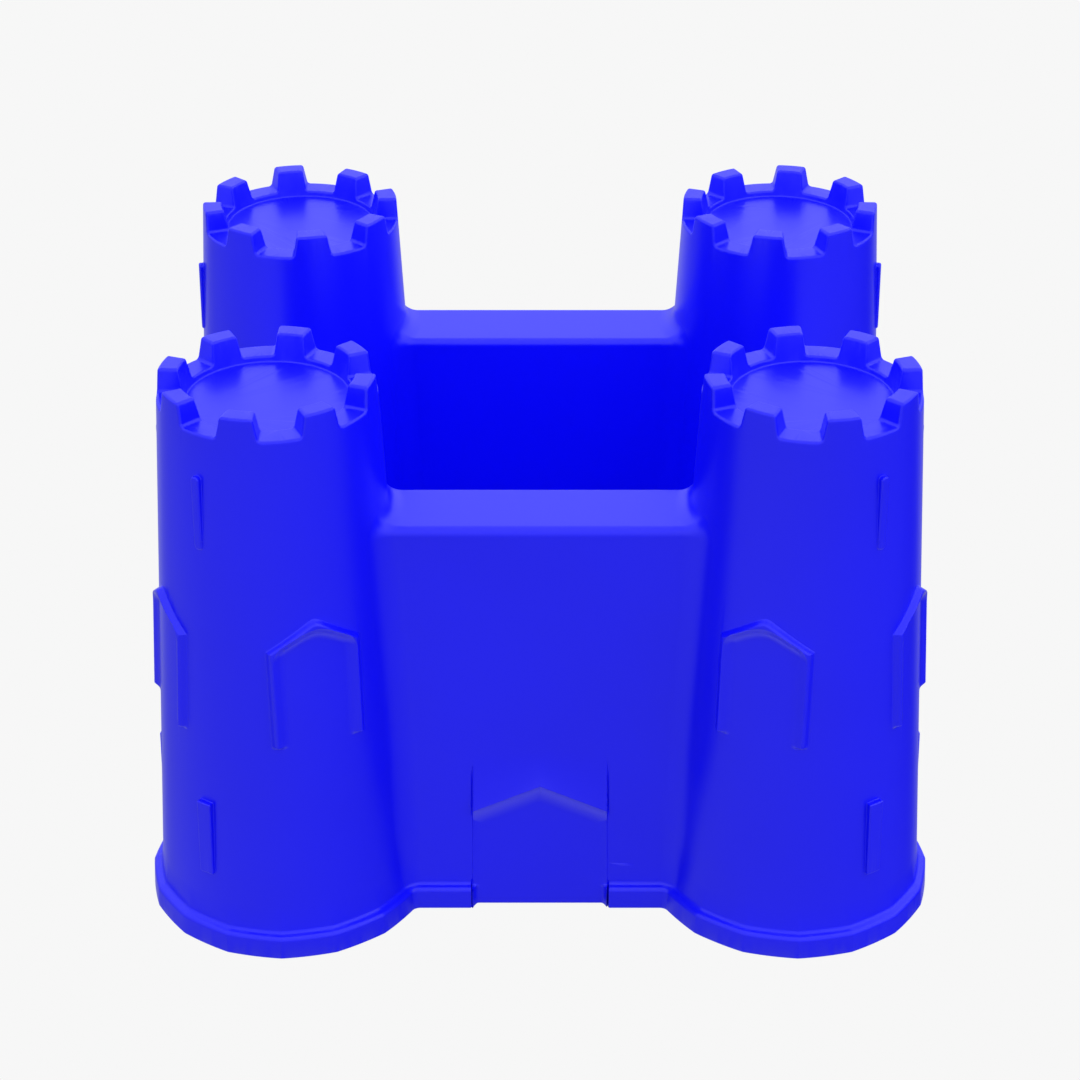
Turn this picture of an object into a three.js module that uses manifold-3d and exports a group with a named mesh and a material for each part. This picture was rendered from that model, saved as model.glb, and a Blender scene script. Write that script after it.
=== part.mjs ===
// A castle-shaped sand bucket: one thin plastic moulding that stands mouth down.
// Four tapered corner towers with battlements are joined by flat-topped curtain walls
// round a deep rectangular courtyard, and the whole hollow inside opens through the
// stepped rim at the bottom, so that packed sand comes out as a castle.
//
// Frame: millimetres, +Z up, the origin on the mouth plane at the middle of the plan,
// with the gate in the wall that faces -Y.
//
// The moulding is one skin. It is cut along its natural borders into named regions: the
// gate, the courtyard floor, each wall and tower, each tower's battlement, and the rim's
// lobe or run at the foot of each of them.
import * as THREE from "three";
import { mergeVertices } from "three/addons/utils/BufferGeometryUtils.js";
import Module from "manifold-3d";

const wasm = await Module();
wasm.setup();

// ---- Driving dimensions --------------------------------------------------------------
const SKIN = 1.8; // thickness of the moulding
const SEAM = 0.3; // gap between two regions
const BELOW = 6; // how far the hollow runs on past the mouth before it is cut

const TOWER_X = 77.1; // tower axis from the middle
const TOWER_Y = 63.1;
const TOWER_R = 40; // tower radius on the mouth plane
const TOWER_DRAFT = 0.052; // radius lost per mm of height
const TOWER_SIDES = 40;

const MERLONS = 8; // battlements on one tower
const CRENEL_Z = 167.4; // floor of the gaps between merlons
const MERLON_Z = 174; // top of the merlons, the height of the object
const MERLON_INNER_R = 24.6; // inside face of the merlons
const MERLON_HALF_W = 5.1; // half width of a merlon at its top
const MERLON_SPREAD = 0.12; // half width gained per mm downwards
const ROOF_R = 23.9; // sunken roof disc
const ROOF_Z = 165.6;

const WALL_Z = 130.2; // flat top of the curtain walls
const WALL_OUT = 13.2; // outer face outside the line of tower axes, at the top
const WALL_IN = 12.4; // courtyard face inside that line, at the top
const WALL_DRAFT = 0.0171; // both faces lean in towards the top
const COURT_DRAFT = 0.02;
const COURT_Z = 40; // floor of the courtyard

const RIM_Z = 7.4; // top of the rim's ledge
const RIM_OUT = 2.9; // width of the ledge

const GATE_HALF_W = 20.9;
const GATE_SHOULDER_Z = 34.1;
const GATE_APEX_Z = 43;
const HOOD_Z = 55.7; // where the hood over the gate runs out into the wall
const HOOD_OUT = 1.6; // how far the hood stands proud at the arch

// Raised frames on the front left tower. An azimuth turns from -Y towards +X, in degrees.
const WINDOW = { halfWidth: 12.2, sill: 71, shoulder: 102, apex: 110.5, raise: 1.9 };
const WINDOW_FRAME = 2.6; // width of the frame round the sunken pane
const WINDOW_AZIMUTHS = [22.5, -67.5];
const SLIT_HIGH = { halfWidth: 2.1, sill: 132.7, shoulder: 154.9, apex: 154.9, raise: 1.7 };
const SLIT_LOW = { halfWidth: 2.8, sill: 24.8, shoulder: 49.2, apex: 49.2, raise: 1.4 };
const SLIT_AZIMUTHS = [-33.75, -101.25];
const MERLON_AZIMUTH = -11.25;

// Planes between the regions
const CUT_X = 37; // between the front or back wall and the towers
const CUT_Y = 23; // between a side wall and the towers
const CUT_RIM_Z = 9;
const CUT_CROWN_Z = 160;
const CUT_FLOOR_Z = [37, 41.5];
const CUT_FLOOR_X = 72;
const CUT_FLOOR_Y = 57.5;
const FAR = 400; // larger than the object

// Turns a side view drawn as (y, z) and extruded by x into the frame.
const SIDEWAYS = new THREE.Matrix4().set(0, 0, 1, 0, 1, 0, 0, 0, 0, 1, 0, 0, 0, 0, 0, 1);

// ---- Solids from three.js geometries ---------------------------------------------------
const radians = THREE.MathUtils.degToRad;

function solidOf(geometry) {
  const bare = geometry.index ? geometry.toNonIndexed() : geometry.clone();
  bare.deleteAttribute("normal");
  bare.deleteAttribute("uv");
  const merged = mergeVertices(bare, 1e-4);
  return new wasm.Manifold(
    new wasm.Mesh({
      numProp: 3,
      vertProperties: new Float32Array(merged.attributes.position.array),
      triVerts: new Uint32Array(merged.index.array),
    }),
  );
}

function box(low, high) {
  const size = high.map((value, i) => value - low[i]);
  const centre = high.map((value, i) => (value + low[i]) / 2);
  return solidOf(new THREE.BoxGeometry(...size).translate(...centre));
}

// A four-sided block whose half widths lessen by `draft` per mm from z = 0 upwards.
function taperedBlock(halfX, halfY, zLow, zHigh, draft) {
  const geometry = new THREE.BoxGeometry(2, 2, zHigh - zLow);
  geometry.translate(0, 0, (zHigh + zLow) / 2);
  const position = geometry.attributes.position;
  for (let i = 0; i < position.count; i++) {
    const lean = draft * position.getZ(i);
    position.setX(i, position.getX(i) * (halfX - lean));
    position.setY(i, position.getY(i) * (halfY - lean));
  }
  return solidOf(geometry);
}

// A solid of revolution about Z, from [radius, z] points that start and end on the axis.
function turned(points) {
  const profile = points.map(([radius, z]) => new THREE.Vector2(radius, z));
  const geometry = new THREE.LatheGeometry(profile, TOWER_SIDES);
  return solidOf(geometry.rotateX(Math.PI / 2));
}

function towerRadius(z) {
  return TOWER_R - TOWER_DRAFT * z;
}

function cone(zLow, zHigh, grow) {
  return turned([
    [0, zLow],
    [towerRadius(zLow) + grow, zLow],
    [towerRadius(zHigh) + grow, zHigh],
    [0, zHigh],
  ]);
}

// A solid made for the front left tower is placed on every tower, mirrored with the plan.
const CORNERS = [
  { name: "front_left", x: -1, y: -1 },
  { name: "front_right", x: 1, y: -1 },
  { name: "back_left", x: -1, y: 1 },
  { name: "back_right", x: 1, y: 1 },
];

function onTower(solid, corner) {
  const across = corner.x > 0 ? solid.mirror([1, 0, 0]) : solid;
  const placed = corner.y > 0 ? across.mirror([0, 1, 0]) : across;
  return placed.translate([corner.x * TOWER_X, corner.y * TOWER_Y, 0]);
}

function joined(solids) {
  return solids.reduce((sum, solid) => sum.add(solid));
}

// ---- The castle as a full form ---------------------------------------------------------
// Each function takes `inset`: 0 gives the outside of the moulding, SKIN gives its hollow.
function bottomZ(inset) {
  return inset > 0 ? -BELOW : 0;
}

// A prism with a pointed head, from inside the tower outwards in the direction `azimuth`.
function headedPrism(size, azimuth, narrow, sill) {
  const half = size.halfWidth - narrow;
  const outline = new THREE.Shape();
  outline.moveTo(-half, sill);
  outline.lineTo(half, sill);
  outline.lineTo(half, size.shoulder - narrow);
  if (size.apex > size.shoulder) outline.lineTo(0, size.apex - narrow);
  outline.lineTo(-half, size.shoulder - narrow);
  const geometry = new THREE.ExtrudeGeometry(outline, { depth: TOWER_R, bevelEnabled: false });
  geometry.translate(0, 0, TOWER_R / 2).rotateX(Math.PI / 2).rotateZ(radians(azimuth));
  return solidOf(geometry);
}

// A slit is a raised strip that follows the tower. A window is a raised frame, open at its
// sill, round a pane that is flush with the tower.
function slit(size, azimuth) {
  const skin = cone(size.sill - 1, size.apex + 1, size.raise);
  return skin.intersect(headedPrism(size, azimuth, 0, size.sill));
}

function window(azimuth) {
  const skin = cone(WINDOW.sill - 1, WINDOW.apex + 1, WINDOW.raise);
  const frame = headedPrism(WINDOW, azimuth, 0, WINDOW.sill);
  const pane = headedPrism(WINDOW, azimuth, WINDOW_FRAME, WINDOW.sill - 1);
  return skin.intersect(frame.subtract(pane));
}

function merlons(inset) {
  const low = CRENEL_Z - inset;
  const inner = MERLON_INNER_R + inset;
  const ring = cone(low, MERLON_Z - inset, -inset).subtract(
    turned([
      [0, low - 1],
      [inner, low - 1],
      [inner, MERLON_Z + 1],
      [0, MERLON_Z + 1],
    ]),
  );
  const halfTop = MERLON_HALF_W - inset;
  const halfFoot = halfTop + MERLON_SPREAD * (MERLON_Z - low + 1);
  const outline = new THREE.Shape();
  outline.moveTo(-halfTop, MERLON_Z);
  outline.lineTo(-halfFoot, low - 1);
  outline.lineTo(halfFoot, low - 1);
  outline.lineTo(halfTop, MERLON_Z);
  const blocks = [];
  for (let i = 0; i < MERLONS; i++) {
    const geometry = new THREE.ExtrudeGeometry(outline, { depth: TOWER_R, bevelEnabled: false });
    const azimuth = MERLON_AZIMUTH + (i * 360) / MERLONS;
    blocks.push(solidOf(geometry.rotateX(Math.PI / 2).rotateZ(radians(azimuth))));
  }
  return ring.intersect(joined(blocks));
}

function tower(inset) {
  const body = turned([
    [0, bottomZ(inset)],
    [towerRadius(bottomZ(inset)) - inset, bottomZ(inset)],
    [towerRadius(CRENEL_Z - inset) - inset, CRENEL_Z - inset],
    [ROOF_R + inset, CRENEL_Z - inset],
    [ROOF_R + inset, ROOF_Z - inset],
    [0, ROOF_Z - inset],
  ]);
  const form = body.add(merlons(inset));
  if (inset > 0) return form;
  const relief = WINDOW_AZIMUTHS.map(window);
  for (const azimuth of SLIT_AZIMUTHS) {
    relief.push(slit(SLIT_HIGH, azimuth));
    relief.push(slit(SLIT_LOW, azimuth));
  }
  return joined([form, ...relief]);
}

// Wall faces on the mouth plane
const OUT_X = TOWER_X + WALL_OUT + WALL_DRAFT * WALL_Z;
const OUT_Y = TOWER_Y + WALL_OUT + WALL_DRAFT * WALL_Z;

function walls(inset) {
  const block = taperedBlock(OUT_X - inset, OUT_Y - inset, bottomZ(inset), WALL_Z - inset, WALL_DRAFT);
  const lean = COURT_DRAFT * WALL_Z;
  const courtX = TOWER_X - WALL_IN - lean + inset;
  const courtY = TOWER_Y - WALL_IN - lean + inset;
  return block.subtract(taperedBlock(courtX, courtY, COURT_Z - inset, MERLON_Z, -COURT_DRAFT));
}

// The rim follows the towers and the walls, and stops at both sides of the gate.
function rim(inset) {
  const grow = RIM_OUT - inset;
  const low = bottomZ(inset);
  const high = RIM_Z - inset;
  const lobes = CORNERS.map((corner) => onTower(cone(low, high, grow), corner));
  const straight = taperedBlock(OUT_X + grow, OUT_Y + grow, low, high, WALL_DRAFT);
  const gap = GATE_HALF_W + inset;
  return joined([straight, ...lobes]).subtract(
    box([-gap, -FAR, -FAR], [gap, -OUT_Y + inset, FAR]),
  );
}

// The gate's hood slopes out of the wall down to a pointed arch, over a flush door pane.
function hood() {
  const shoulderFace = -OUT_Y + WALL_DRAFT * GATE_SHOULDER_Z;
  const side = new THREE.Shape();
  side.moveTo(shoulderFace + SKIN / 2, HOOD_Z);
  side.lineTo(shoulderFace - HOOD_OUT, GATE_SHOULDER_Z);
  side.lineTo(shoulderFace + SKIN / 2, GATE_SHOULDER_Z);
  const wide = 2 * GATE_HALF_W;
  const wedge = new THREE.ExtrudeGeometry(side, { depth: wide, bevelEnabled: false });
  wedge.translate(0, 0, -wide / 2).applyMatrix4(SIDEWAYS);
  const door = new THREE.Shape();
  door.moveTo(-wide, GATE_SHOULDER_Z - GATE_APEX_Z);
  door.lineTo(wide, GATE_SHOULDER_Z - GATE_APEX_Z);
  door.lineTo(wide, 2 * GATE_SHOULDER_Z - GATE_APEX_Z);
  door.lineTo(0, GATE_APEX_Z);
  door.lineTo(-wide, 2 * GATE_SHOULDER_Z - GATE_APEX_Z);
  const cut = new THREE.ExtrudeGeometry(door, { depth: FAR, bevelEnabled: false });
  return solidOf(wedge).subtract(solidOf(cut.rotateX(Math.PI / 2)));
}

function castle(inset) {
  const towers = CORNERS.map((corner) => onTower(tower(inset), corner));
  return joined([walls(inset), rim(inset), ...towers]);
}

const skin = castle(0).add(hood()).subtract(castle(SKIN));

// ---- Regions of the moulding, as named meshes ------------------------------------------
const plastic = { color: 0x1414f0, roughness: 0.35, metalness: 0 };
const bucket = new THREE.Group();

function addRegion(name, solid) {
  const mesh = solid.getMesh();
  const geometry = new THREE.BufferGeometry();
  geometry.setAttribute("position", new THREE.BufferAttribute(mesh.vertProperties, 3));
  geometry.setIndex(new THREE.BufferAttribute(mesh.triVerts, 1));
  const part = new THREE.Mesh(geometry, new THREE.MeshStandardMaterial(plastic));
  part.name = name;
  bucket.add(part);
}

// A block round a region; `grow` widens it, so that its neighbours keep the seam's gap.
function floorBlock(grow) {
  const [low, high] = CUT_FLOOR_Z;
  return box(
    [-CUT_FLOOR_X - grow, -CUT_FLOOR_Y - grow, low - grow],
    [CUT_FLOOR_X + grow, CUT_FLOOR_Y + grow, high + grow],
  );
}

function gateBlock(grow) {
  const half = GATE_HALF_W + grow;
  return box([-half, -FAR, -FAR], [half, -TOWER_Y, HOOD_Z + grow]);
}

addRegion("courtyard_floor", skin.intersect(floorBlock(0)));
addRegion("gate", skin.intersect(gateBlock(0)));

const rest = skin.subtract(floorBlock(SEAM)).subtract(gateBlock(SEAM));
const AT_RIM = [-FAR, CUT_RIM_Z];
const AT_BODY = [CUT_RIM_Z + SEAM, CUT_CROWN_Z];
const AT_CROWN = [CUT_CROWN_Z + SEAM, FAR];

// What lies over a rectangle of the plan, between two heights.
function region([xLow, xHigh], [yLow, yHigh], [zLow, zHigh]) {
  return rest.intersect(box([xLow, yLow, zLow], [xHigh, yHigh, zHigh]));
}

function outwards(side, cut) {
  const near = side * (cut + SEAM / 2);
  return side < 0 ? [-FAR, near] : [near, FAR];
}

for (const { name, x, y } of CORNERS) {
  const acrossX = outwards(x, CUT_X);
  const acrossY = outwards(y, CUT_Y);
  addRegion("rim_lobe_" + name, region(acrossX, acrossY, AT_RIM));
  addRegion("tower_" + name, region(acrossX, acrossY, AT_BODY));
  addRegion("battlement_" + name, region(acrossX, acrossY, AT_CROWN));
}

const betweenX = [-CUT_X + SEAM / 2, CUT_X - SEAM / 2];
const betweenY = [-CUT_Y + SEAM / 2, CUT_Y - SEAM / 2];
addRegion("wall_front", region(betweenX, [-FAR, 0], AT_BODY));
addRegion("wall_back", region(betweenX, [0, FAR], AT_BODY));
addRegion("wall_left", region([-FAR, 0], betweenY, AT_BODY));
addRegion("wall_right", region([0, FAR], betweenY, AT_BODY));
addRegion("rim_run_front_left", region([betweenX[0], 0], [-FAR, 0], AT_RIM));
addRegion("rim_run_front_right", region([0, betweenX[1]], [-FAR, 0], AT_RIM));
addRegion("rim_run_back", region(betweenX, [0, FAR], AT_RIM));
addRegion("rim_run_left", region([-FAR, 0], betweenY, AT_RIM));
addRegion("rim_run_right", region([0, FAR], betweenY, AT_RIM));

export default bucket;
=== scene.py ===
import math

import bpy
import numpy as np
import openvdb
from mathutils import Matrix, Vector


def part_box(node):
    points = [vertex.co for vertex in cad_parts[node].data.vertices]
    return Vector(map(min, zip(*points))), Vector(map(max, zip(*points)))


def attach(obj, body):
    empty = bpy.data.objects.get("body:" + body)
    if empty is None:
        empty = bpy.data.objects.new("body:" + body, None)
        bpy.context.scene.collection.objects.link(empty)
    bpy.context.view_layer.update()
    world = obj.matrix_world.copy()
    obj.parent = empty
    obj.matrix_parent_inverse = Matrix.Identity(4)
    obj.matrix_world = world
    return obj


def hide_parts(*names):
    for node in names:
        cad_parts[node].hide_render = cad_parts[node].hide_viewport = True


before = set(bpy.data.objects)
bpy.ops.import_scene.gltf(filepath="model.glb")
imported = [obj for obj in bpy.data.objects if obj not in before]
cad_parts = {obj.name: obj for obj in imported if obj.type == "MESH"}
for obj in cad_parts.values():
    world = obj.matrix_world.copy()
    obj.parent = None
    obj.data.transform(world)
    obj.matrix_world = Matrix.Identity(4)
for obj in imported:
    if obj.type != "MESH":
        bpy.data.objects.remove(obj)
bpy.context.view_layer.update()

# ---- Driving dimensions of the moulding, in mm ------------------------------------------
TOWER_X = 77.1
TOWER_Y = 63.1
TOWER_R = 40.0
TOWER_DRAFT = 0.052
TOWER_LEAN = 1 / math.hypot(1, TOWER_DRAFT)

CRENEL_Z = 167.4
MERLON_Z = 174.0
MERLON_PITCH = 45.0
MERLON_AZIMUTH = -11.25
MERLON_HALF_ANGLE = 8.9  # at its top, in degrees
MERLON_SPREAD = 0.38  # degrees gained per mm downwards
MERLON_EDGE = 0.8
MERLON_FOOT = 0.9
MERLON_FLANK = 0.985  # evens out the flank's lean when its distance is measured
ROOF_R = 23.5
ROOF_LEAN = 0.19
ROOF_Z = 165.6
ROOF_FILLET = 0.45
ROOF_EDGE = 0.6

WALL_Z = 130.2
WALL_OUT = 13.2
WALL_IN = 12.4
WALL_DRAFT = 0.0171
WALL_EDGE_OUT = 2.5
WALL_EDGE_IN = 2.0
COURT_DRAFT = 0.02
COURT_Z = 40.0
COURT_FILLET = 4.0
CORNER_FILLET = 5.0
CORNER_FOOT_FILLET = 3.5  # the same corners down at the rim
CORNER_BLEND_Z = 30  # where the corners start to tighten towards the rim

RIM_Z = 7.4
RIM_OUT = 2.4
RIM_FALL = 0.3  # fall of the ledge for each mm outwards
RIM_EDGE = 1.0
RIM_FILLET = 0.8
RIM_GAP = 21.0  # half of the gap in the rim at the gate
RIM_GAP_EDGE = 0.2
FLAT_PITCH = 22.5
FLAT_SHARE = 0.55  # of the depth that true flats would have
FOOT_OUT = 0.6
FOOT_Z = 16  # where the tower's foot starts to widen

SKIN = 1.8
LIP = 0.6  # rounding of the skin's two edges on the mouth plane

GATE_HALF_W = 20.9
GATE_SHOULDER_Z = 35.0
GATE_APEX_Z = 44.3
HOOD_Z = 55.7
HOOD_OUT = 2.0
PANE_IN = 0.2
SOFFIT_DEEP = 6.6
GATE_FOOT_HALF_W = 20.95  # on the mouth plane, less GATE_DRAFT for each mm up
GATE_DRAFT = 0.0125
GATE_STEP = 0.1  # from the gate's edge to where its relief starts
JAMB_IN = 0.4  # from the gate's edge to the jamb's crest
JAMB_WIDE = 2.8
JAMB_OUT = 0.2
JAMB_RIM_UP = 0.4  # over the ledge, where the jamb starts to step out to the rim
JAMB_RIM_DOWN = 1.2  # and under it, where the step is done
GROOVE_HALF_W = 0.32
HOOD_GROOVE = 0.4  # depth beside the hood
HOOD_GROOVE_Z = (31, 36, 43, 53)  # where it comes in and goes out again
RIM_GROOVE = 0.5  # depth at the rim
RIM_GROOVE_Z = (7.5, 9.5)

WINDOW_HALF_W = 12.3
WINDOW_SILL = 71.0
WINDOW_SHOULDER = 102.0
WINDOW_APEX = 110.5
WINDOW_OUT = 1.9
WINDOW_SWELL = 0.35  # what softening the bead takes off its crest
WINDOW_SOFT = 1.3
WINDOW_SILL_BLEND = (0.6, 1.0)  # under and over the sill
WINDOW_SLOPE = (WINDOW_APEX - WINDOW_SHOULDER) / WINDOW_HALF_W
WINDOW_JAMB_W = 2.4  # width of the frame's outer slope
WINDOW_ARCH_W = 1.3
WINDOW_SOFFIT_W = 3.5
WINDOW_TIP_R = 1.2  # rounding of the bead's point
WINDOW_SOFFIT_TIP_R = 4.0  # and of the soffit's below it
WINDOW_CORNER_R = 3.0  # rounding of the soffit's shoulders
WINDOW_AZIMUTHS = (22.5, -67.5)
SLIT_AZIMUTHS = (-33.75, -101.25)
# half width, bottom, top, height proud at the bottom and at the top, edge and corner radius
SLIT_HIGH = (1.35, 131.9, 154.8, 0.65, 1.6, 0.6, 1.2)
SLIT_LOW = (2.4, 24.6, 49.2, 1.1, 1.8, 0.45, 0.4)
SLIT_FILLET = 0.2


# ---- Distance fields, negative inside the plastic ---------------------------------------
def joined(a, b, radius):
    """The two solids together, with a fillet where they meet."""
    return np.maximum(radius, np.minimum(a, b)) - np.hypot(
        np.maximum(radius - a, 0), np.maximum(radius - b, 0)
    )


def common(a, b, radius):
    """What both solids share, with its edge rounded."""
    return np.minimum(-radius, np.maximum(a, b)) + np.hypot(
        np.maximum(radius + a, 0), np.maximum(radius + b, 0)
    )


def soft_min(a, b, width):
    """The lower of two heights, with the crossing between them softened."""
    near = np.maximum(width - np.abs(a - b), 0) / width
    return np.minimum(a, b) - near * near * width / 4


def smooth_step(value, start, end):
    t = np.clip((value - start) / (end - start), 0, 1)
    return t * t * (3 - 2 * t)


def faded(distance, width):
    """1 at distance 0, falling along a concave curve to 0 at width."""
    return np.clip(1 - np.maximum(distance, 0) / width, 0, 1) ** 2


def turned_from(azimuth, centre):
    """Degrees from centre, between -180 and 180."""
    return (azimuth - centre + 180) % 360 - 180


def window_relief(across, z):
    """Height of the raised frame round a window, over the tower's cone."""
    crest = WINDOW_OUT + WINDOW_SWELL
    beside = np.abs(across) - WINDOW_HALF_W

    def over(tip_radius):
        """Distance above the arch, whose point is rounded."""
        rounded = np.hypot(across, tip_radius) - tip_radius / 2
        return (z - WINDOW_APEX + WINDOW_SLOPE * rounded) / math.hypot(1, WINDOW_SLOPE)

    jambs = smooth_step(-beside, -WINDOW_JAMB_W, 0)
    arch = smooth_step(-over(WINDOW_TIP_R), -WINDOW_ARCH_W, 0)
    outer = crest * np.minimum(jambs, arch)
    opening = common(beside, over(WINDOW_SOFFIT_TIP_R), WINDOW_CORNER_R)
    inner = crest * faded(-opening, WINDOW_SOFFIT_W)
    relief = np.maximum(soft_min(outer, inner, WINDOW_SOFT), 0)
    under, over_sill = WINDOW_SILL_BLEND
    return relief * smooth_step(z, WINDOW_SILL - under, WINDOW_SILL + over_sill)


def slit(azimuth, r, z, centre, sizes):
    """A narrow raised plate on the tower, measured along its cone."""
    half, low, high, proud_low, proud_high, edge, corner = sizes
    surface = TOWER_R - TOWER_DRAFT * z
    across = np.abs(np.radians(turned_from(azimuth, centre)) * surface)
    up = np.abs(z - (low + high) / 2) - (high - low) / 2
    outline = common(across - half, up, corner)
    proud = proud_low + (proud_high - proud_low) * np.clip((z - low) / (high - low), 0, 1)
    return common(outline, r - surface - proud, edge)


def foot(azimuth, z):
    """The tower's foot widens a little into sixteen flats, down at the rim."""
    turn = np.radians(azimuth % FLAT_PITCH - FLAT_PITCH / 2)
    flat = TOWER_R * (1 - math.cos(math.radians(FLAT_PITCH / 2)) / np.cos(turn))
    return (FOOT_OUT - FLAT_SHARE * flat) * smooth_step(-z, -FOOT_Z, -RIM_Z)


def tower(u, v, z, detailed):
    """A corner tower, where u and v run outwards from its axis."""
    r = np.hypot(u, v)
    azimuth = np.degrees(np.arctan2(-u, v))
    relief = 0
    if detailed:
        surface = TOWER_R - TOWER_DRAFT * z
        for centre in WINDOW_AZIMUTHS:
            across = np.radians(turned_from(azimuth, centre)) * surface
            relief = np.maximum(relief, window_relief(across, z))
    side = (r - TOWER_R + TOWER_DRAFT * z - relief - foot(azimuth, z)) * TOWER_LEAN

    turn = turned_from(azimuth - MERLON_AZIMUTH, 0)
    turn = np.abs((turn + MERLON_PITCH / 2) % MERLON_PITCH - MERLON_PITCH / 2)
    half = MERLON_HALF_ANGLE + MERLON_SPREAD * (MERLON_Z - z)
    flank = r * np.sin(np.radians(turn - half)) * MERLON_FLANK
    merlon = common(flank, z - MERLON_Z, MERLON_EDGE)
    top = joined(z - CRENEL_Z, merlon, MERLON_FOOT)
    roof = common(r - ROOF_R - ROOF_LEAN * (z - ROOF_Z), ROOF_Z - z, ROOF_FILLET)
    body = common(side, top, MERLON_EDGE)
    body = common(body, -roof, ROOF_EDGE)
    if detailed:
        for centre in SLIT_AZIMUTHS:
            for sizes in (SLIT_HIGH, SLIT_LOW):
                plate = slit(azimuth, r, z, centre, sizes)
                body = joined(body, plate, SLIT_FILLET)
    return body


def gate_half(z):
    """Half of the gate's width, which narrows upwards."""
    return GATE_FOOT_HALF_W - GATE_DRAFT * z


def gate_relief(x, z):
    """Height of the gate's hood, pane and jambs over the front wall's plane."""
    a = np.abs(x)
    slope = (GATE_APEX_Z - GATE_SHOULDER_Z) / GATE_HALF_W
    arch = GATE_APEX_Z - slope * a
    hood = HOOD_OUT * np.clip((HOOD_Z - z) / (HOOD_Z - arch), 0, 1) ** 2
    below = (arch - z) / math.hypot(1, slope)
    soffit = -PANE_IN + (HOOD_OUT + PANE_IN) * faded(below, SOFFIT_DEEP)
    at_rim = smooth_step(-z, -RIM_Z - JAMB_RIM_UP, -RIM_Z + JAMB_RIM_DOWN)
    proud = JAMB_OUT + (RIM_OUT - JAMB_OUT) * at_rim
    inwards = gate_half(z) - JAMB_IN - a
    jamb = -PANE_IN + (proud + PANE_IN) * faded(inwards, JAMB_WIDE - at_rim)
    relief = np.where(z > arch, hood, np.maximum(soffit, jamb))
    edge = -gate_half(z)
    return relief * smooth_step(-a, edge + GATE_STEP, edge + JAMB_IN)


def groove(x, z):
    """Depth of the narrow line beside the gate: deep at the rim and light beside the hood."""
    off = (np.abs(x) - gate_half(z)) / GROOVE_HALF_W
    start, full, fading, end = HOOD_GROOVE_Z
    beside_hood = smooth_step(z, start, full) * smooth_step(-z, -end, -fading)
    at_rim = smooth_step(-z, -RIM_GROOVE_Z[1], -RIM_GROOVE_Z[0])
    depth = HOOD_GROOVE * beside_hood + RIM_GROOVE * at_rim
    return depth * np.clip(1 - off * off, 0, 1)


def castle(x, y, z, detailed):
    """Towers, curtain walls and courtyard, as a solid without its rim."""
    u = np.abs(x) - TOWER_X
    v = np.abs(y) - TOWER_Y
    out = WALL_OUT + WALL_DRAFT * (WALL_Z - z)
    front = v - out
    if detailed:
        at_front = y < 0
        front = front - np.where(at_front, gate_relief(x, z) - groove(x, z), 0)
    block = common(np.maximum(u - out, front), z - WALL_Z, WALL_EDGE_OUT)
    lean = COURT_DRAFT * (WALL_Z - z)
    court = np.maximum(u + WALL_IN + lean, v + WALL_IN + lean)
    court = common(court, COURT_Z - z, COURT_FILLET)
    walls = common(block, -court, WALL_EDGE_IN)
    at_foot = smooth_step(-z, -CORNER_BLEND_Z, -RIM_Z)
    fillet = CORNER_FILLET + (CORNER_FOOT_FILLET - CORNER_FILLET) * at_foot
    return joined(tower(u, v, z, detailed), walls, fillet)


def solid(x, y, z, detailed):
    """The castle with the rim round its foot, open at the gate."""
    body = castle(x, y, z, detailed)
    plain = castle(x, y, z, False) if detailed else body
    ledge = (z - RIM_Z + RIM_FALL * (plain - RIM_OUT / 2)) / math.hypot(1, RIM_FALL)
    rim = common(plain - RIM_OUT, ledge, RIM_EDGE)
    gap = np.maximum(np.abs(x) - RIM_GAP, y)
    rim = common(rim, -gap, RIM_GAP_EDGE)
    return joined(body, rim, RIM_FILLET)


def moulding(x, y, z):
    """The whole thin-walled castle, open at the mouth."""
    outside = solid(x, y, z, True)
    inside = solid(x, y, z, False) + SKIN
    return common(np.maximum(outside, -inside), -z, LIP)


# ---- Meshes from the fields ---------------------------------------------------------------
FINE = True


def values(field, points):
    """The field at each point."""
    return field(points[:, 0], points[:, 1], points[:, 2])


def slopes(field, points, step=0.02):
    """The field's gradient at each point."""
    result = np.empty_like(points)
    for axis in range(3):
        shift = np.zeros(3)
        shift[axis] = step
        ahead = values(field, points + shift)
        behind = values(field, points - shift)
        result[:, axis] = (ahead - behind) / (2 * step)
    return result


def settled(field, points, rounds=3, reach=0.5):
    """The points moved onto the field's surface, and the outward direction there."""
    points = points.copy()
    for _ in range(rounds):
        distance = values(field, points)
        slope = slopes(field, points)
        steep = np.maximum((slope**2).sum(1), 0.2)
        move = -(distance / steep)[:, None] * slope
        length = np.linalg.norm(move, axis=1)
        move *= (np.minimum(length, reach) / np.maximum(length, 1e-9))[:, None]
        move[np.abs(distance) > 1.5 * reach] = 0
        points += move
    slope = slopes(field, points)
    return points, slope / np.maximum(np.linalg.norm(slope, axis=1), 1e-9)[:, None]


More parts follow.
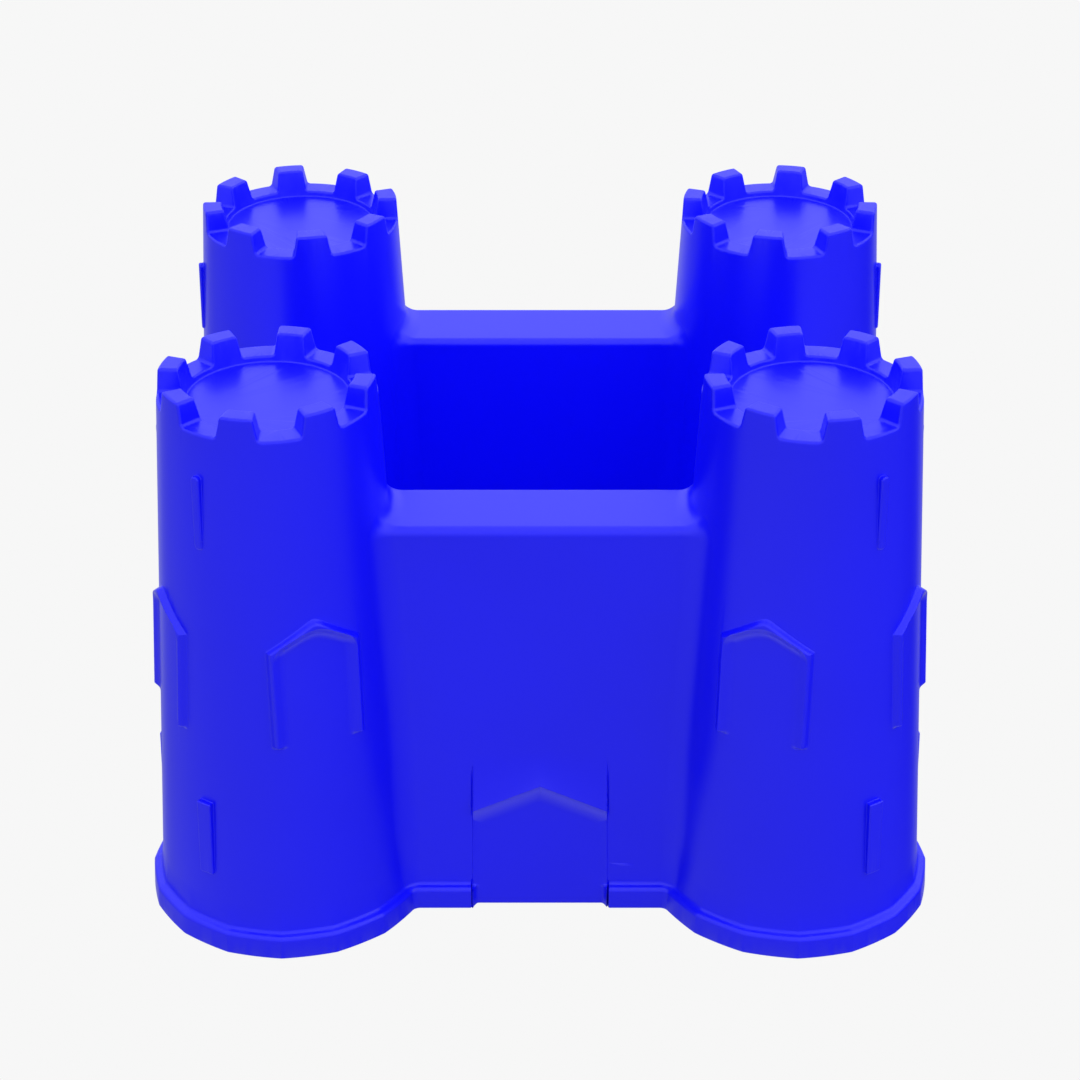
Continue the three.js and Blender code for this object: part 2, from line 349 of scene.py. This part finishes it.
def surface(field, low, high, cell):
    """Triangles of the field's surface over a block, closed a little outside it."""
    low = np.asarray(low, float)
    high = np.asarray(high, float)
    start = low - 4 * cell
    count = np.ceil((high - low) / cell).astype(int) + 9
    axes = [start[i] + cell * np.arange(count[i]) for i in range(3)]
    x, y, z = np.meshgrid(*axes, indexing="ij")
    samples = field(x, y, z)
    for values_on, a, b in ((x, low[0], high[0]), (y, low[1], high[1]), (z, low[2], high[2])):
        edge = np.maximum(a - 1.7 * cell - values_on, values_on - b - 1.7 * cell)
        samples = np.maximum(samples, edge)
    grid = openvdb.FloatGrid(3 * cell)
    grid.copyFromArray(np.clip(samples, -3 * cell, 3 * cell).astype(np.float32))
    points, triangles, quads = grid.convertToPolygons(isovalue=0.0, adaptivity=0.0)
    points = start + points.astype(float) * cell
    quads = quads.astype(np.int64)
    a, b, c, d = (points[quads[:, i]] for i in range(4))
    flip = np.linalg.norm(a - c, axis=1) > np.linalg.norm(b - d, axis=1)
    order = np.where(flip[:, None], [[0, 1, 3, 1, 2, 3]], [[0, 1, 2, 0, 2, 3]])
    split = np.take_along_axis(quads, order, 1).reshape(-1, 3)
    faces = np.concatenate([triangles.astype(np.int64).reshape(-1, 3), split])
    a, b, c = (points[faces[:, i]] for i in range(3))
    if np.einsum("ij,ij->i", a, np.cross(b, c)).sum() < 0:
        faces = faces[:, ::-1]
    return points, faces


def refined(field, points, normals, faces, angle, shortest, rounds):
    """Splits edges whose two ends face apart, keeping every new point on the surface."""
    limit = math.cos(math.radians(angle))
    for _ in range(rounds):
        near = np.abs(values(field, points)) < 0.05
        sides = np.stack([faces, np.roll(faces, -1, axis=1)], axis=2)
        sides = np.sort(sides.reshape(-1, 2), axis=1)
        key = sides[:, 0] * len(points) + sides[:, 1]
        unique, first, where = np.unique(key, return_index=True, return_inverse=True)
        a, b = sides[first].T
        long = np.linalg.norm(points[a] - points[b], axis=1) > shortest
        apart = np.einsum("ij,ij->i", normals[a], normals[b]) < limit
        split = long & apart & near[a] & near[b]
        if not split.any():
            break
        middle, facing = settled(field, (points[a[split]] + points[b[split]]) / 2)
        number = np.full(len(unique), -1)
        number[split] = len(points) + np.arange(split.sum())
        points = np.concatenate([points, middle])
        normals = np.concatenate([normals, facing])
        faces = divided(points, faces, number[where].reshape(-1, 3))
    return points, normals, faces


def triangles_of(a, b, c):
    return np.stack([a, b, c], 1)


def divided(points, faces, middles):
    """Each triangle cut at the given middles of its sides, -1 where a side stays whole."""
    pieces = [faces[(middles < 0).all(1)]]
    for turn in range(3):
        f = np.roll(faces, -turn, axis=1)
        m = np.roll(middles, -turn, axis=1)
        one = (m[:, 0] >= 0) & (m[:, 1] < 0) & (m[:, 2] < 0)
        (a, b, c), ab = f[one].T, m[one][:, 0]
        pieces += [triangles_of(a, ab, c), triangles_of(ab, b, c)]
        two = (m[:, 0] >= 0) & (m[:, 1] >= 0) & (m[:, 2] < 0)
        (a, b, c), (ab, bc) = f[two].T, m[two][:, :2].T
        pieces.append(triangles_of(ab, b, bc))
        # the four corners left over are cut along their shorter diagonal
        across = np.linalg.norm(points[a] - points[bc], axis=1)
        along = np.linalg.norm(points[ab] - points[c], axis=1)
        swap = (across > along)[:, None]
        pieces.append(np.where(swap, triangles_of(a, ab, c), triangles_of(a, ab, bc)))
        pieces.append(np.where(swap, triangles_of(ab, bc, c), triangles_of(a, bc, c)))
    three = (middles >= 0).all(1)
    (a, b, c), (ab, bc, ca) = faces[three].T, middles[three].T
    pieces += [
        triangles_of(a, ab, ca),
        triangles_of(ab, b, bc),
        triangles_of(ca, bc, c),
        triangles_of(ab, bc, ca),
    ]
    return np.concatenate(pieces)


def as_mesh(name, points, faces):
    """A Blender mesh of the triangles."""
    mesh = bpy.data.meshes.new(name)
    mesh.vertices.add(len(points))
    mesh.vertices.foreach_set("co", np.ascontiguousarray(points, np.float32).ravel())
    mesh.loops.add(len(faces) * 3)
    mesh.loops.foreach_set("vertex_index", np.ascontiguousarray(faces, np.int32).ravel())
    mesh.polygons.add(len(faces))
    mesh.polygons.foreach_set("loop_start", np.arange(len(faces), dtype=np.int32) * 3)
    mesh.update(calc_edges=True)
    return mesh


def as_arrays(mesh):
    """A Blender mesh's points and triangles."""
    mesh.calc_loop_triangles()
    points = np.empty(len(mesh.vertices) * 3, np.float32)
    mesh.vertices.foreach_get("co", points)
    faces = np.empty(len(mesh.loop_triangles) * 3, np.int32)
    mesh.loop_triangles.foreach_get("vertices", faces)
    return points.reshape(-1, 3).astype(float), faces.reshape(-1, 3).astype(np.int64)


def scratch(name, mesh):
    """A passing object for the mesh."""
    item = bpy.data.objects.new(name, mesh)
    bpy.context.scene.collection.objects.link(item)
    return item


def evaluated(item):
    """The item's mesh with its modifiers, as arrays, and the item removed."""
    graph = bpy.context.evaluated_depsgraph_get()
    mesh = bpy.data.meshes.new_from_object(item.evaluated_get(graph))
    result = as_arrays(mesh)
    bpy.data.meshes.remove(mesh)
    base = item.data
    bpy.data.objects.remove(item)
    bpy.data.meshes.remove(base)
    return result


def thinned(points, faces, target):
    """Fewer triangles, taken away where the surface is flattest."""
    if len(faces) <= target:
        return points, faces
    item = scratch("thin", as_mesh("thin", points, faces))
    modifier = item.modifiers.new("Decimate", "DECIMATE")
    modifier.ratio = target / len(faces)
    return evaluated(item)


def block_mesh(low, high):
    """A box between two corners."""
    corners = [
        [(low, high)[i][0], (low, high)[j][1], (low, high)[k][2]]
        for i in (0, 1)
        for j in (0, 1)
        for k in (0, 1)
    ]
    quads = [[0, 1, 3, 2], [4, 6, 7, 5], [0, 4, 5, 1], [2, 3, 7, 6], [0, 2, 6, 4], [1, 5, 7, 3]]
    faces = [[q[0], q[1], q[2]] for q in quads] + [[q[0], q[2], q[3]] for q in quads]
    return as_mesh("block", np.array(corners, float), np.array(faces))


def cut_to(points, faces, keep, drop=()):
    """The part of a closed mesh inside the block `keep` and outside each block in `drop`."""
    item = scratch("cut", as_mesh("cut", points, faces))
    blocks = [(keep, "INTERSECT")] + [(block, "DIFFERENCE") for block in drop]
    cutters = []
    for block, operation in blocks:
        cutter = scratch("cutter", block_mesh(*block))
        modifier = item.modifiers.new("Boolean", "BOOLEAN")
        modifier.object = cutter
        modifier.operation = operation
        modifier.solver = "MANIFOLD"
        cutters.append(cutter)
    result = evaluated(item)
    for cutter in cutters:
        mesh = cutter.data
        bpy.data.objects.remove(cutter)
        bpy.data.meshes.remove(mesh)
    return result


def on_planes(points, faces, blocks):
    """For each face, the direction of the cut plane it lies on, or 0 0 0."""
    direction = np.zeros((len(faces), 3))
    corners = points[faces]
    normal = np.cross(corners[:, 1] - corners[:, 0], corners[:, 2] - corners[:, 0])
    normal /= np.maximum(np.linalg.norm(normal, axis=1), 1e-12)[:, None]
    for low, high in blocks:
        for axis in range(3):
            for level in (low[axis], high[axis]):
                flat = (np.abs(corners[:, :, axis] - level) < 2e-4).all(1)
                unit = np.zeros(3)
                unit[axis] = 1
                sign = np.sign(normal[:, axis])
                direction[flat] = sign[flat, None] * unit
    return direction


class Piece:
    """Triangles in mm with a facing for each corner."""

    def __init__(self, keep, drop=(), cell=0.8, target=60000, angle=12.0, shortest=0.25):
        low, high = (np.array(corner, float) for corner in keep)
        low = np.maximum(low, BODY_BOX[0] - 1)
        high = np.minimum(high, BODY_BOX[1] + 1)
        cell = cell if FINE else cell * 1.6
        points, faces = surface(moulding, low, high, cell)
        points, normals = settled(moulding, points)
        if FINE:
            points, normals, faces = refined(
                moulding, points, normals, faces, angle * 1.3, shortest, 2
            )
            points, faces = thinned(points, faces, target)
            points, normals = settled(moulding, points, 2)
            points, normals, faces = refined(
                moulding, points, normals, faces, angle, shortest, 4
            )
        points, faces = cut_to(points, faces, keep, drop)
        _, normals = settled(moulding, points, 0)
        corner_normals = normals[faces]
        flat = on_planes(points, faces, [keep, *drop])
        capped = (flat != 0).any(1)
        corner_normals[capped] = flat[capped][:, None, :]
        self.points = points
        self.faces = faces
        self.normals = corner_normals

    def build(self, name, flip=(1, 1, 1)):
        flip = np.array(flip, float)
        points = self.points * flip / 1000
        faces, normals = self.faces, self.normals * flip
        if flip.prod() < 0:
            faces, normals = faces[:, ::-1], normals[:, ::-1]
        mesh = as_mesh(name, points, faces)
        mesh.polygons.foreach_set("use_smooth", np.ones(len(faces), bool))
        mesh.normals_split_custom_set(normals.reshape(-1, 3))
        mesh.materials.append(plastic)
        item = bpy.data.objects.new(name, mesh)
        bpy.context.scene.collection.objects.link(item)
        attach(item, "root")
        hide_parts(name)
        return item


# ---- Node trees ---------------------------------------------------------------------------
class Sums:
    """Arithmetic on the sockets of a node tree."""

    def __init__(self, tree):
        self.tree = tree

    def math(self, operation, *values, clamp=False):
        made = self.tree.nodes.new("ShaderNodeMath")
        made.operation = operation
        made.use_clamp = clamp
        for socket, value in zip(made.inputs, values):
            if isinstance(value, bpy.types.NodeSocket):
                self.tree.links.new(value, socket)
            else:
                socket.default_value = value
        return made.outputs[0]

    def add(self, *values):
        total = values[0]
        for value in values[1:]:
            total = self.math("ADD", total, value)
        return total

    def times(self, a, b):
        return self.math("MULTIPLY", a, b)

    def ramp(self, value, start, end):
        made = self.tree.nodes.new("ShaderNodeMapRange")
        made.interpolation_type = "SMOOTHSTEP"
        self.tree.links.new(value, made.inputs["Value"])
        made.inputs["From Min"].default_value = start
        made.inputs["From Max"].default_value = end
        return made.outputs[0]

    def mix(self, factor, a, b):
        return self.add(a, self.times(factor, self.math("SUBTRACT", b, a)))


# ---- Blue moulded plastic -----------------------------------------------------------------
BLUE = (0.0024, 0.0025, 0.95, 1)
DEEP_BLUE = (0.0020, 0.0022, 0.91, 1)
RUBBED_BLUE = (0.0070, 0.0074, 0.93, 1)
GLOSS = 0.285
WAVE_HEIGHT = 5e-5  # metres, as the other heights
GRAIN_HEIGHT = 2.5e-6
DRAG_HEIGHT = 5e-6
RUB_HEIGHT = 4e-6
# how often each pattern repeats, per metre
GRAIN_SCALE = 2400
WAVE_SCALE = 38
DRAG_SCALE = 430
SCRATCH_SCALE = 900
PATCH_SCALE = 75
HAZE_SCALE = 240
TINT_SCALE = 14
DRAG_STRETCH = (1, 1, 0.04)
SCRATCH_STRETCH = (1, 1, 0.03)
SCRATCH_TURNS = ((0.3, 1.2, 0.2), (1.5, 0.4, 1.1))
SCRATCH_WIDTH = 0.012
CREST_WEAR_Z = (0.1718, 0.1742)  # none to full, in metres
SKIRT_WEAR_Z = (0.0080, 0.0010)
WEAR_ELSEWHERE = 0.04


def make_plastic():
    """Satin injection moulding: mould grain, slow waves, drag lines, and rubbed edges."""
    material = bpy.data.materials.new("blue_plastic")
    material.use_nodes = True
    tree = material.node_tree
    tree.nodes.clear()
    link = tree.links.new
    out = tree.nodes.new("ShaderNodeOutputMaterial")
    shader = tree.nodes.new("ShaderNodeBsdfPrincipled")
    link(shader.outputs[0], out.inputs[0])
    shader.inputs["IOR"].default_value = 1.45
    sums = Sums(tree)
    place = tree.nodes.new("ShaderNodeTexCoord").outputs["Object"]

    def noise(scale, detail=2.0, stretch=(1, 1, 1), turn=(0, 0, 0)):
        mapping = tree.nodes.new("ShaderNodeMapping")
        mapping.inputs["Scale"].default_value = [scale * part for part in stretch]
        mapping.inputs["Rotation"].default_value = turn
        link(place, mapping.inputs["Vector"])
        made = tree.nodes.new("ShaderNodeTexNoise")
        made.inputs["Scale"].default_value = 1.0
        made.inputs["Detail"].default_value = detail
        link(mapping.outputs[0], made.inputs["Vector"])
        return made.outputs["Fac"]

    def scratches(turn):
        """Thin lines where a stretched noise crosses its middle value."""
        pattern = noise(SCRATCH_SCALE, 1.0, SCRATCH_STRETCH, turn)
        off_middle = sums.math("ABSOLUTE", sums.add(pattern, -0.5))
        return sums.ramp(off_middle, SCRATCH_WIDTH, 0.0)

    grain = noise(GRAIN_SCALE)
    waves = noise(WAVE_SCALE, 1.0)
    drag = noise(DRAG_SCALE, 2.0, DRAG_STRETCH)
    height = tree.nodes.new("ShaderNodeSeparateXYZ")
    link(place, height.inputs[0])
    up = height.outputs["Z"]
    crests = sums.ramp(up, *CREST_WEAR_Z)
    skirt = sums.ramp(up, *SKIRT_WEAR_Z)
    worn = sums.math("MAXIMUM", sums.math("MAXIMUM", crests, skirt), WEAR_ELSEWHERE)
    first, second = SCRATCH_TURNS
    lines = sums.math("MAXIMUM", scratches(first), scratches(second))
    patches = sums.ramp(noise(PATCH_SCALE, 3.0), 0.48, 0.66)
    rubbed = sums.times(sums.times(lines, patches), worn)
    mist = sums.ramp(noise(HAZE_SCALE, 4.0), 0.42, 0.70)
    haze = sums.times(mist, sums.times(patches, worn))

    def blend(factor, first, second):
        """Colour from first to second, where first may be another blend."""
        made = tree.nodes.new("ShaderNodeMix")
        made.data_type = "RGBA"
        a, b = [socket for socket in made.inputs if socket.type == "RGBA"]
        if isinstance(first, bpy.types.NodeSocket):
            link(first, a)
        else:
            a.default_value = first
        b.default_value = second
        link(factor, made.inputs["Factor"])
        return next(socket for socket in made.outputs if socket.type == "RGBA")

    body = blend(sums.ramp(noise(TINT_SCALE, 2.0), 0.35, 0.70), BLUE, DEEP_BLUE)
    worn_body = blend(sums.add(rubbed, sums.times(haze, 0.5)), body, RUBBED_BLUE)
    link(worn_body, shader.inputs["Base Color"])

    roughness = sums.add(
        GLOSS,
        sums.times(waves, 0.02),
        sums.times(grain, 0.02),
        sums.times(rubbed, 0.12),
        sums.times(haze, 0.08),
    )
    link(roughness, shader.inputs["Roughness"])

    bump = tree.nodes.new("ShaderNodeBump")
    bump.inputs["Strength"].default_value = 1.0
    bump.inputs["Distance"].default_value = 1.0
    relief = sums.add(
        sums.times(waves, WAVE_HEIGHT),
        sums.times(grain, GRAIN_HEIGHT),
        sums.times(drag, DRAG_HEIGHT),
        sums.times(rubbed, -RUB_HEIGHT),
    )
    link(relief, bump.inputs["Height"])
    link(bump.outputs[0], shader.inputs["Normal"])
    return material


plastic = make_plastic()

# ---- The regions of the moulding, one for each CAD node ---------------------------------
BODY_BOX = 1000 * np.array(
    [
        np.min([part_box(name)[0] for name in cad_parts], axis=0),
        np.max([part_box(name)[1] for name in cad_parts], axis=0),
    ]
)
FAR = 400.0
CUT_X = 37.0
CUT_Y = 23.0
CUT_RIM_Z = 9.0
CUT_CROWN_Z = 160.0
WALL_SIDE_X = 55.0  # further in than the side walls
WALL_SIDE_Y = 42.0  # further in than the front and back walls
FLOOR = ((-72.0, -57.5, 37.0), (72.0, 57.5, 41.5))
GATE = ((-GATE_HALF_W, -FAR, -FAR), (GATE_HALF_W, -TOWER_Y, HOOD_Z))

MIRRORS = {
    "front_left": (1, 1, 1),
    "front_right": (-1, 1, 1),
    "back_left": (1, -1, 1),
    "back_right": (-1, -1, 1),
}

lobe = Piece(((-FAR, -FAR, -FAR), (-CUT_X, -CUT_Y, CUT_RIM_Z)), cell=0.6, target=14000)
shaft = Piece(
    ((-FAR, -FAR, CUT_RIM_Z), (-CUT_X, -CUT_Y, CUT_CROWN_Z)), [FLOOR], cell=0.8, target=60000
)
crown = Piece(((-FAR, -FAR, CUT_CROWN_Z), (-CUT_X, -CUT_Y, FAR)), cell=0.5, target=50000)
for corner, flip in MIRRORS.items():
    lobe.build("rim_lobe_" + corner, flip)
    shaft.build("tower_" + corner, flip)
    crown.build("battlement_" + corner, flip)

side_wall = Piece(
    ((-FAR, -CUT_Y, CUT_RIM_Z), (-WALL_SIDE_X, CUT_Y, FAR)), [FLOOR], target=16000
)
side_wall.build("wall_left")
side_wall.build("wall_right", (-1, 1, 1))
Piece(
    ((-CUT_X, WALL_SIDE_Y, CUT_RIM_Z), (CUT_X, FAR, FAR)), [FLOOR], target=24000
).build("wall_back")
Piece(
    ((-CUT_X, -FAR, CUT_RIM_Z), (CUT_X, -WALL_SIDE_Y, FAR)),
    [FLOOR, GATE],
    cell=0.6,
    target=40000,
).build("wall_front")

side_run = Piece(((-FAR, -CUT_Y, -FAR), (0, CUT_Y, CUT_RIM_Z)), cell=0.6, target=6000)
side_run.build("rim_run_left")
side_run.build("rim_run_right", (-1, 1, 1))
Piece(((-CUT_X, 0, -FAR), (CUT_X, FAR, CUT_RIM_Z)), cell=0.6, target=8000).build("rim_run_back")
front_run = Piece(
    ((-CUT_X, -FAR, -FAR), (0, 0, CUT_RIM_Z)), [GATE], cell=0.4, target=8000
)
front_run.build("rim_run_front_left")
front_run.build("rim_run_front_right", (-1, 1, 1))
Piece(GATE, cell=0.4, target=50000).build("gate")
Piece(FLOOR, target=30000).build("courtyard_floor")

# ---- Floor, light and camera --------------------------------------------------------------
KEY_LIGHT = Vector((0.9, -0.05, 0.43)).normalized()
SKY = 0.9
SKY_RISE = 0.5  # brighter overhead than at the horizon
KEY_STRENGTH = 0.9
KEY_FOCUS = 4.0
MIRRORED_LOW = 0.31  # what the plastic mirrors from below the horizon
MIRRORED_BEHIND = 0.45
MIRRORED_NADIR = 0.7
FLOOR_GLOW = 0.93
FLOOR_GREY = 0.31
FLOOR_FILL = 0.07
FLOOR_HALF = 6.0
FLOOR_DROP = 0.0002  # below the skirt, so that the two never share a plane
CAMERA_LENS = 93.06
CAMERA_PLACE = (0, -0.7726, 0.5160)
CAMERA_TILT = 60.8  # degrees up from straight down


def make_world():
    """A soft studio: an even sky with a broad light at the right, and calm reflections."""
    world = bpy.data.worlds.new("studio")
    world.use_nodes = True
    tree = world.node_tree
    sums = Sums(tree)
    facing = tree.nodes.new("ShaderNodeTexCoord").outputs["Generated"]
    split = tree.nodes.new("ShaderNodeSeparateXYZ")
    tree.links.new(facing, split.inputs[0])
    x, y, z = split.outputs
    towards_key = sums.add(
        sums.times(x, KEY_LIGHT.x), sums.times(y, KEY_LIGHT.y), sums.times(z, KEY_LIGHT.z)
    )
    key = sums.math("POWER", sums.math("MAXIMUM", towards_key, 0.0), KEY_FOCUS)
    lit = sums.add(SKY, sums.times(z, SKY_RISE), sums.times(key, KEY_STRENGTH))
    behind = sums.times(sums.ramp(y, 0.55, 0.85), MIRRORED_BEHIND)
    nadir = sums.times(sums.ramp(sums.times(z, -1.0), 0.52, 0.92), MIRRORED_NADIR)
    tilt = (sums.times(y, -0.3), sums.times(x, -0.18))
    low = sums.add(MIRRORED_LOW, *tilt, behind, nadir)
    mirrored = sums.mix(sums.ramp(z, -0.15, 0.45), low, 1.0)
    path = tree.nodes.new("ShaderNodeLightPath")
    strength = sums.mix(path.outputs["Is Glossy Ray"], lit, mirrored)
    tree.links.new(strength, tree.nodes["Background"].inputs["Strength"])
    tree.nodes["Background"].inputs["Color"].default_value = (1, 1, 1, 1)
    bpy.context.scene.world = world


def make_floor():
    """A pale seamless floor that shows evenly, lights the object, and is clear from below."""
    mesh = bpy.data.meshes.new("floor")
    half = FLOOR_HALF
    mesh.from_pydata(
        [(-half, -half, 0), (half, -half, 0), (half, half, 0), (-half, half, 0)],
        [],
        [(0, 1, 2, 3)],
    )
    item = bpy.data.objects.new("floor", mesh)
    bpy.context.scene.collection.objects.link(item)
    item.location.z = BODY_BOX[0][2] / 1000 - FLOOR_DROP
    item.visible_glossy = False
    material = bpy.data.materials.new("floor")
    material.use_nodes = True
    tree = material.node_tree
    tree.nodes.clear()
    out = tree.nodes.new("ShaderNodeOutputMaterial")
    glow = tree.nodes.new("ShaderNodeEmission")
    glow.inputs["Strength"].default_value = FLOOR_GLOW
    matt = tree.nodes.new("ShaderNodeBsdfDiffuse")
    matt.inputs["Color"].default_value = (FLOOR_GREY, FLOOR_GREY, FLOOR_GREY, 1)
    fill = tree.nodes.new("ShaderNodeEmission")
    fill.inputs["Strength"].default_value = FLOOR_FILL
    bounce = tree.nodes.new("ShaderNodeAddShader")
    tree.links.new(matt.outputs[0], bounce.inputs[0])
    tree.links.new(fill.outputs[0], bounce.inputs[1])
    path = tree.nodes.new("ShaderNodeLightPath")
    side = tree.nodes.new("ShaderNodeNewGeometry")
    clear = tree.nodes.new("ShaderNodeBsdfTransparent")

    def mixed(factor, first, second):
        """The second shader where the factor is 1, and otherwise the first."""
        mix = tree.nodes.new("ShaderNodeMixShader")
        tree.links.new(factor, mix.inputs[0])
        tree.links.new(first, mix.inputs[1])
        tree.links.new(second, mix.inputs[2])
        return mix.outputs[0]

    from_above = mixed(path.outputs["Is Camera Ray"], bounce.outputs[0], glow.outputs[0])
    shown = mixed(side.outputs["Backfacing"], from_above, clear.outputs[0])
    tree.links.new(shown, out.inputs[0])
    mesh.materials.append(material)


make_floor()
make_world()

camera_data = bpy.data.cameras.new("camera")
camera_data.lens = CAMERA_LENS
camera_data.sensor_width = 36
camera_data.clip_end = 50
camera = bpy.data.objects.new("camera", camera_data)
bpy.context.scene.collection.objects.link(camera)
camera.location = CAMERA_PLACE
camera.rotation_euler = (math.radians(CAMERA_TILT), 0, 0)
bpy.context.scene.camera = camera
bpy.context.scene.view_settings.view_transform = "Standard"
